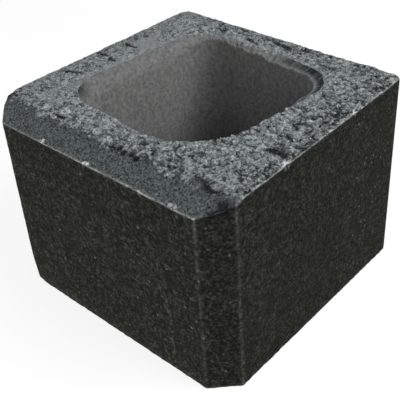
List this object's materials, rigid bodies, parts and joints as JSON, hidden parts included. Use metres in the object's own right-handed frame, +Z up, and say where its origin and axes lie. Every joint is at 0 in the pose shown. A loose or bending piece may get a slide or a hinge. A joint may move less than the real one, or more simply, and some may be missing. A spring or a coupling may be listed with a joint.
{
  "type": "hollow concrete wall block",
  "caption": "Hollow pressed concrete wall block that narrows to the back, with a drafted through core, chamfered front corners and a bevelled upper front edge.",
  "frame": {"origin": "middle of the underside, on the bed that the block stands on", "axes": "+Z up through the core, -Y out of the front face with the bevel, +X to the right seen from the front"},
  "size_m": [0.2848, 0.267, 0.2],
  "materials": {
    "concrete": "rough"
  },
  "bodies": {
    "root": {"block": "concrete"}
  },
  "joints": []
}
